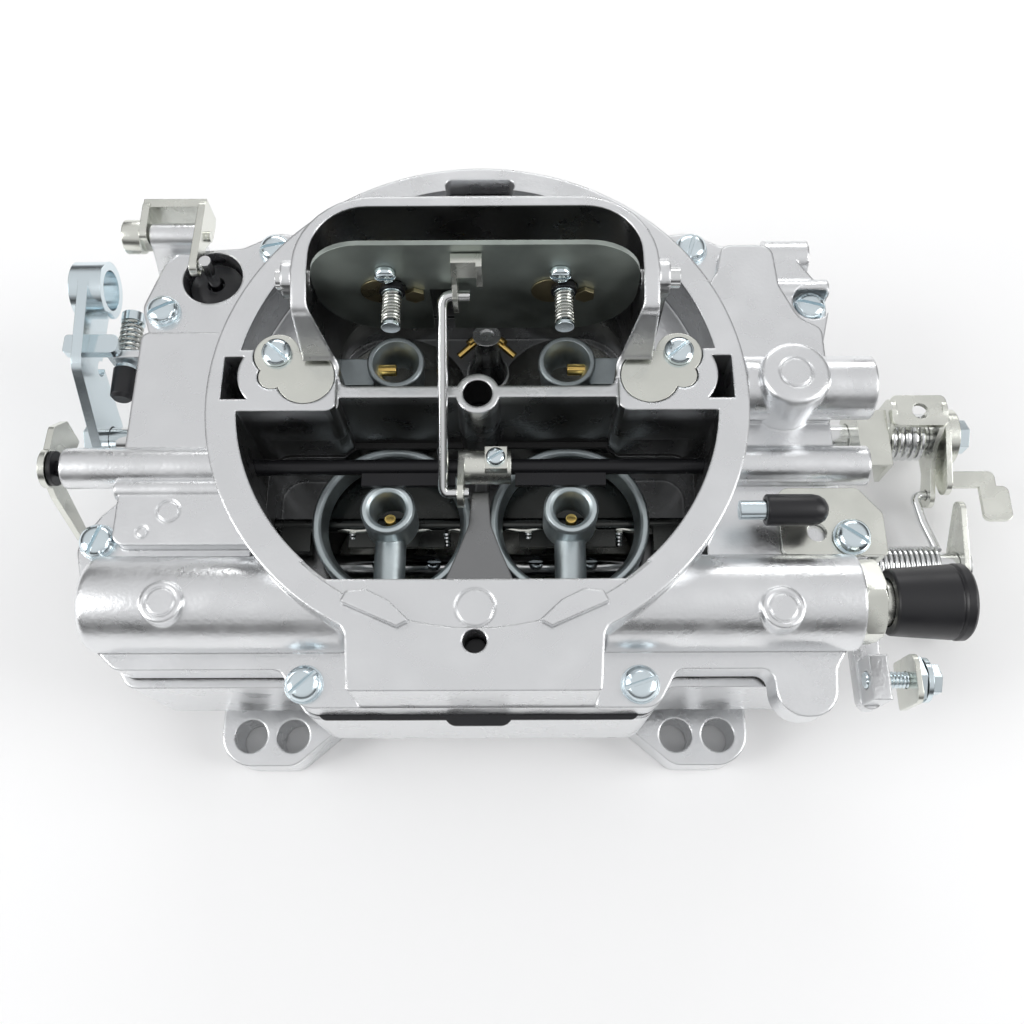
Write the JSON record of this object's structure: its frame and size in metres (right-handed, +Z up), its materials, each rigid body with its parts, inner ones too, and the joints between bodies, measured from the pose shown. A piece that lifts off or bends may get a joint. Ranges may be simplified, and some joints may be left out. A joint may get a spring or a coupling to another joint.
{
  "type": "automotive carburetor",
  "caption": "Downdraught automotive carburetor with choke tower, air valve, float bowls and throttle linkage.",
  "frame": {"origin": "centre of the base flange, on its underside", "axes": "+X towards the fuel inlet, +Y towards the primary bores and choke, +Z up through the air-cleaner seat"},
  "size_m": [0.2815, 0.1594, 0.1152],
  "materials": {
    "cast_aluminium": "satin, die cast and tumbled",
    "zinc_casting": "satin grey-green passivated zinc",
    "yellow_zinc_plate": "satin, faintly yellow zinc plate",
    "dark_zinc_plate": "dark olive-grey plating",
    "bright_zinc": "bright blue-white zinc",
    "brass": "bright machined brass",
    "bright_steel": "bright drawn steel",
    "black_steel": "black oxide",
    "black_rubber": "satin",
    "gasket_paper": "matte",
    "float_foam": "matte"
  },
  "bodies": {
    "housing": {"main_body": "cast_aluminium", "air_horn": "cast_aluminium", "air_horn_gasket": "gasket_paper", "primary_booster_left": "zinc_casting", "primary_booster_right": "zinc_casting", "secondary_booster_left": "zinc_casting", "secondary_booster_right": "zinc_casting", "pump_nozzle": "zinc_casting", "metering_cover_left": "yellow_zinc_plate", "metering_cover_right": "yellow_zinc_plate", "fuel_inlet_fitting": "yellow_zinc_plate", "choke_cable_bracket": "yellow_zinc_plate", "metering_cover_screw_left": "bright_zinc", "metering_cover_screw_right": "bright_zinc", "air_horn_screw_1": "bright_zinc", "air_horn_screw_2": "bright_zinc", "air_horn_screw_3": "bright_zinc", "air_horn_screw_4": "bright_zinc", "air_horn_screw_5": "bright_zinc", "air_horn_screw_6": "bright_zinc", "air_horn_screw_7": "bright_zinc", "air_horn_screw_8": "bright_zinc", "vacuum_tube": "bright_zinc", "cable_clamp_screw": "bright_zinc", "fuel_inlet_cap": "black_rubber", "vacuum_cap": "black_rubber"},
    "primary_throttle": {"primary_throttle_shaft": "bright_steel", "primary_throttle_plate_left": "yellow_zinc_plate", "primary_throttle_plate_right": "yellow_zinc_plate", "throttle_lever": "yellow_zinc_plate", "secondary_drive_lever": "yellow_zinc_plate", "drive_lever_spring": "bright_steel", "drive_lever_bracket": "yellow_zinc_plate", "outer_fast_idle_lever": "yellow_zinc_plate"},
    "secondary_throttle": {"secondary_throttle_shaft": "bright_steel", "secondary_throttle_plate_left": "yellow_zinc_plate", "secondary_throttle_plate_right": "yellow_zinc_plate", "secondary_lever": "yellow_zinc_plate"},
    "throttle_link": {"throttle_link_rod": "bright_steel"},
    "choke": {"choke_plate": "dark_zinc_plate", "choke_shaft": "bright_steel", "choke_lever": "yellow_zinc_plate", "choke_relief_valve_left": "bright_zinc", "choke_relief_valve_right": "bright_zinc"},
    "choke_link": {"choke_link_rod": "bright_steel"},
    "air_valve_assembly": {"air_valve": "black_steel", "air_valve_clamp": "yellow_zinc_plate", "air_valve_lever": "yellow_zinc_plate"},
    "auxiliary_valve_assembly": {"auxiliary_valve": "cast_aluminium"},
    "float_left_assembly": {"float_left": "float_foam"},
    "float_right_assembly": {"float_right": "float_foam"},
    "inlet_needle_left_body": {"inlet_needle_left": "brass"},
    "inlet_needle_right_body": {"inlet_needle_right": "brass"},
    "step_up_left": {"step_up_piston_left": "brass"},
    "step_up_right": {"step_up_piston_right": "brass"},
    "pump_lever_body": {"pump_lever": "yellow_zinc_plate"},
    "pump_plunger_body": {"pump_plunger": "bright_steel"},
    "mixture_left": {"idle_mixture_screw_left": "bright_zinc"},
    "mixture_right": {"idle_mixture_screw_right": "bright_zinc"},
    "idle_speed": {"idle_speed_screw": "bright_zinc"}
  },
  "joints": [
    {"name": "primary_throttle_turn", "type": "hinge", "parent": "housing", "child": "primary_throttle", "pos_m": [0, 0.0195, 0.015], "axis": [1, 0, 0], "range_deg": [0, 70]},
    {"name": "secondary_throttle_turn", "type": "hinge", "parent": "housing", "child": "secondary_throttle", "pos_m": [0, -0.0225, 0.015], "axis": [1, 0, 0], "range_deg": [0, 70]},
    {"name": "throttle_link_turn", "type": "hinge", "parent": "primary_throttle", "child": "throttle_link", "pos_m": [0.1372, 0.0024, 0.009], "axis": [1, 0, 0], "range_deg": [-70, 0]},
    {"name": "choke_turn", "type": "hinge", "parent": "housing", "child": "choke", "pos_m": [0, 0.021, 0.1], "axis": [1, 0, 0], "range_deg": [-83, 0]},
    {"name": "choke_link_turn", "type": "hinge", "parent": "choke", "child": "choke_link", "pos_m": [-0.0046, 0.0171, 0.0991], "axis": [1, 0, 0], "range_deg": [0, 85]},
    {"name": "air_valve_turn", "type": "hinge", "parent": "housing", "child": "air_valve_assembly", "pos_m": [0, -0.0125, 0.067], "axis": [1, 0, 0], "range_deg": [-31, 0]},
    {"name": "auxiliary_valve_turn", "type": "hinge", "parent": "housing", "child": "auxiliary_valve_assembly", "pos_m": [0, -0.0195, 0.0435], "axis": [1, 0, 0], "range_deg": [-45, 0]},
    {"name": "float_left_turn", "type": "hinge", "parent": "housing", "child": "float_left_assembly", "pos_m": [-0.0725, -0.052, 0.0484], "axis": [1, 0, 0], "range_deg": [0, 6]},
    {"name": "float_right_turn", "type": "hinge", "parent": "housing", "child": "float_right_assembly", "pos_m": [0.0725, -0.052, 0.0484], "axis": [1, 0, 0], "range_deg": [0, 6]},
    {"name": "needle_left_slide", "type": "slide", "parent": "housing", "child": "inlet_needle_left_body", "axis": [0, 0, 1], "range_m": [0, 0.00065]},
    {"name": "needle_right_slide", "type": "slide", "parent": "housing", "child": "inlet_needle_right_body", "axis": [0, 0, 1], "range_m": [0, 0.00065]},
    {"name": "step_up_left_slide", "type": "slide", "parent": "housing", "child": "step_up_left", "axis": [0, 0, 1], "range_m": [0, 0.006]},
    {"name": "step_up_right_slide", "type": "slide", "parent": "housing", "child": "step_up_right", "axis": [0, 0, 1], "range_m": [0, 0.006]},
    {"name": "pump_lever_turn", "type": "hinge", "parent": "housing", "child": "pump_lever_body", "pos_m": [-0.085, 0.0565, 0.068], "axis": [1, 0, 0], "range_deg": [0, 22.1]},
    {"name": "pump_plunger_slide", "type": "slide", "parent": "housing", "child": "pump_plunger_body", "axis": [0, 0, 1], "range_m": [-0.00485, 0]},
    {"name": "mixture_left_turn", "type": "hinge", "parent": "housing", "child": "mixture_left", "pos_m": [-0.02, 0.06, 0.021], "axis": [0, 1, 0], "continuous": true},
    {"name": "mixture_right_turn", "type": "hinge", "parent": "housing", "child": "mixture_right", "pos_m": [0.02, 0.06, 0.021], "axis": [0, 1, 0], "continuous": true},
    {"name": "idle_speed_turn", "type": "hinge", "parent": "housing", "child": "idle_speed", "pos_m": [-0.108, 0.04, 0.033], "axis": [0, 1, 0], "continuous": true}
  ],
  "couplings": [
    {"joint": "secondary_throttle_turn", "follows": "primary_throttle_turn", "ratio": 1},
    {"joint": "throttle_link_turn", "follows": "primary_throttle_turn", "ratio": -1},
    {"joint": "pump_lever_turn", "follows": "primary_throttle_turn", "ratio": 0.3143},
    {"joint": "pump_plunger_slide", "follows": "primary_throttle_turn", "m_per_rad": -0.00393},
    {"joint": "choke_link_turn", "follows": "choke_turn", "ratio": -1.02},
    {"joint": "air_valve_turn", "follows": "choke_turn", "ratio": 0.37},
    {"joint": "needle_left_slide", "follows": "float_left_turn", "m_per_rad": 0.006},
    {"joint": "needle_right_slide", "follows": "float_right_turn", "m_per_rad": 0.006}
  ]
}
